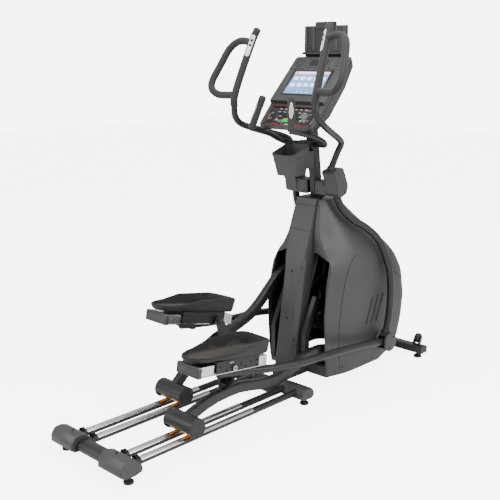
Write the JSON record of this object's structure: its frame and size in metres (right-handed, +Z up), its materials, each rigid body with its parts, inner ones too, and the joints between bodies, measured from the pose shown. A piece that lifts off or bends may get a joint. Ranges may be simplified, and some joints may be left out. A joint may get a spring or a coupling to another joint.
{
  "type": "elliptical trainer",
  "caption": "Front-drive elliptical trainer: rolling track arms, footpads on sliding carriages, swinging handlebars, shrouded crank and flywheel, tilted console with tablet rack.",
  "frame": {"origin": "on the floor, at the centre of the bounding box's underside", "axes": "+X forward, the way the user faces; +Y to the user's left; +Z up"},
  "size_m": [2.12, 0.793, 1.8035],
  "materials": {
    "painted_steel": "satin black powder coat",
    "moulded_plastic": "fine moulded texture, charcoal",
    "dark_plastic": "matte black",
    "foam_grip": "matte foam sleeve over steel tube",
    "bright_aluminium": "bright drawn",
    "rubber": "matte",
    "polyurethane_wheel": "smooth cast polyurethane",
    "cast_iron": "as cast",
    "display_glass": "glossy screen",
    "green_key": "moulded key",
    "red_key": "moulded key",
    "white_key_plate": "moulded key plate"
  },
  "bodies": {
    "base": {"rail_frame": "painted_steel", "track_left_inner": "bright_aluminium", "track_left_outer": "bright_aluminium", "track_right_inner": "bright_aluminium", "track_right_outer": "bright_aluminium", "rear_cap_left": "moulded_plastic", "rear_cap_right": "moulded_plastic", "middle_cap_left": "moulded_plastic", "middle_cap_right": "moulded_plastic", "foot_rear_left": "rubber", "foot_rear_right": "rubber", "foot_middle_left": "rubber", "foot_middle_right": "rubber", "foot_front_left": "rubber", "foot_front_right": "rubber", "drive_frame": "painted_steel", "drive_belt": "rubber", "side_cover_left": "moulded_plastic", "side_cover_right": "moulded_plastic", "spine_cover": "moulded_plastic", "console_mast": "painted_steel", "console_housing": "moulded_plastic", "display_screen": "display_glass", "tablet_rack": "moulded_plastic", "cup_holder": "moulded_plastic", "pulse_handlebar": "painted_steel", "pulse_grip_left": "foam_grip", "pulse_grip_right": "foam_grip"},
    "crank": {"crank_pulley": "cast_iron", "crank_arm_left": "painted_steel", "crank_arm_right": "painted_steel"},
    "flywheel": {"flywheel": "cast_iron"},
    "transport_wheel_left": {"transport_wheel_left": "rubber"},
    "transport_wheel_right": {"transport_wheel_right": "rubber"},
    "tablet_clamp": {"tablet_clamp": "dark_plastic"},
    "start_key": {"start_key": "green_key"},
    "stop_key": {"stop_key": "red_key"},
    "level_rocker": {"level_rocker": "dark_plastic"},
    "resistance_rocker": {"resistance_rocker": "dark_plastic"},
    "swing_right": {"swing_arm_right": "painted_steel", "handlebar_right": "foam_grip"},
    "hand_key_right": {"hand_key_right": "white_key_plate"},
    "pedal_link_right": {"connecting_arm_right": "painted_steel", "pedal_rail_right": "bright_aluminium"},
    "pedal_right": {"pedal_carriage_right": "dark_plastic", "footpad_right": "rubber"},
    "release_lever_right": {"release_lever_right": "dark_plastic"},
    "track_arm_right": {"track_arm_right": "painted_steel"},
    "wheelset_right": {"wheelset_right": "polyurethane_wheel"},
    "swing_left": {"swing_arm_left": "painted_steel", "handlebar_left": "foam_grip"},
    "hand_key_left": {"hand_key_left": "white_key_plate"},
    "pedal_link_left": {"connecting_arm_left": "painted_steel", "pedal_rail_left": "bright_aluminium"},
    "pedal_left": {"pedal_carriage_left": "dark_plastic", "footpad_left": "rubber"},
    "release_lever_left": {"release_lever_left": "dark_plastic"},
    "track_arm_left": {"track_arm_left": "painted_steel"},
    "wheelset_left": {"wheelset_left": "polyurethane_wheel"}
  },
  "joints": [
    {"name": "crank_spin", "type": "hinge", "parent": "base", "child": "crank", "pos_m": [0.54, 0, 0.365], "axis": [0, 1, 0], "continuous": true},
    {"name": "flywheel_spin", "type": "hinge", "parent": "base", "child": "flywheel", "pos_m": [0.52, 0, 0.7], "axis": [0, 1, 0], "continuous": true},
    {"name": "transport_wheel_left_spin", "type": "hinge", "parent": "base", "child": "transport_wheel_left", "pos_m": [1.033, 0.236, 0.098], "axis": [0, 1, 0], "continuous": true},
    {"name": "transport_wheel_right_spin", "type": "hinge", "parent": "base", "child": "transport_wheel_right", "pos_m": [1.033, -0.236, 0.098], "axis": [0, 1, 0], "continuous": true},
    {"name": "start_key_press", "type": "slide", "parent": "base", "child": "start_key", "axis": [0.766, 0, -0.6428], "range_m": [0, 0.0018], "stiffness_N_per_m": 600},
    {"name": "stop_key_press", "type": "slide", "parent": "base", "child": "stop_key", "axis": [0.766, 0, -0.6428], "range_m": [0, 0.0018], "stiffness_N_per_m": 600},
    {"name": "level_rocker_press", "type": "slide", "parent": "base", "child": "level_rocker", "axis": [0.766, 0, -0.6428], "range_m": [0, 0.0018], "stiffness_N_per_m": 600},
    {"name": "resistance_rocker_press", "type": "slide", "parent": "base", "child": "resistance_rocker", "axis": [0.766, 0, -0.6428], "range_m": [0, 0.0018], "stiffness_N_per_m": 600},
    {"name": "tablet_clamp_slide", "type": "slide", "parent": "base", "child": "tablet_clamp", "axis": [0, 0, 1], "range_m": [0, 0.06], "stiffness_N_per_m": 60, "springref_m": -0.04},
    {"name": "swing_right", "type": "hinge", "parent": "base", "child": "swing_right", "pos_m": [0.385, 0, 1.007], "axis": [0, -1, 0], "range_deg": [-8, 12]},
    {"name": "link_right", "type": "hinge", "parent": "swing_right", "child": "pedal_link_right", "pos_m": [0.625, -0.294, 0.199], "axis": [0, -1, 0], "range_deg": [-8.64, 5.76]},
    {"name": "track_arm_right_roll", "type": "slide", "parent": "base", "child": "track_arm_right", "axis": [1, 0, 0], "range_m": [-0.10881, 0.16321]},
    {"name": "wheelset_right_spin", "type": "hinge", "parent": "track_arm_right", "child": "wheelset_right", "pos_m": [-0.64569, -0.145, 0.1156], "axis": [0, 1, 0], "range_deg": [-159.85, 239.78]},
    {"name": "pedal_right_adjust", "type": "slide", "parent": "pedal_link_right", "child": "pedal_right", "axis": [0.9924, 0, -0.1229], "range_m": [-0.04, 0.04]},
    {"name": "release_lever_right_pull", "type": "hinge", "parent": "pedal_link_right", "child": "release_lever_right", "pos_m": [-0.54958, -0.098, 0.31669], "axis": [0, 1, 0], "range_deg": [0, 15], "stiffness_Nm_per_rad": 0.6, "springref_deg": -20.05},
    {"name": "hand_key_right_press", "type": "slide", "parent": "swing_right", "child": "hand_key_right", "axis": [0.7839, -0.5484, -0.2911], "range_m": [0, 0.0008], "stiffness_N_per_m": 1000},
    {"name": "swing_left", "type": "hinge", "parent": "base", "child": "swing_left", "pos_m": [0.385, 0, 1.007], "axis": [0, -1, 0], "range_deg": [-12.2, 8.2]},
    {"name": "link_left", "type": "hinge", "parent": "swing_left", "child": "pedal_link_left", "pos_m": [0.69541, 0.294, 0.22335], "axis": [0, -1, 0], "range_deg": [-5.78, 8.67]},
    {"name": "track_arm_left_roll", "type": "slide", "parent": "base", "child": "track_arm_left", "axis": [1, 0, 0], "range_m": [-0.15659, 0.10439]},
    {"name": "wheelset_left_spin", "type": "hinge", "parent": "track_arm_left", "child": "wheelset_left", "pos_m": [-0.45025, 0.145, 0.1156], "axis": [0, 1, 0], "range_deg": [-230.05, 153.37]},
    {"name": "pedal_left_adjust", "type": "slide", "parent": "pedal_link_left", "child": "pedal_left", "axis": [0.9759, 0, -0.218], "range_m": [-0.04, 0.04]},
    {"name": "release_lever_left_pull", "type": "hinge", "parent": "pedal_link_left", "child": "release_lever_left", "pos_m": [-0.46234, 0.098, 0.4538], "axis": [0, 1, 0], "range_deg": [0, 15], "stiffness_Nm_per_rad": 0.6, "springref_deg": -20.05},
    {"name": "hand_key_left_press", "type": "slide", "parent": "swing_left", "child": "hand_key_left", "axis": [0.8065, 0.5484, -0.2208], "range_m": [0, 0.0008], "stiffness_N_per_m": 1000}
  ],
  "couplings": [
    {"joint": "flywheel_spin", "follows": "crank_spin", "ratio": 7.5},
    {"joint": "link_right", "follows": "swing_right", "ratio": -0.706},
    {"joint": "track_arm_right_roll", "follows": "swing_right", "m_per_rad": 0.764},
    {"joint": "wheelset_right_spin", "follows": "swing_right", "ratio": 19.59},
    {"joint": "swing_left", "follows": "swing_right", "ratio": -1},
    {"joint": "link_left", "follows": "swing_right", "ratio": 0.708},
    {"joint": "track_arm_left_roll", "follows": "swing_right", "m_per_rad": -0.733},
    {"joint": "wheelset_left_spin", "follows": "swing_right", "ratio": -18.795}
  ]
}
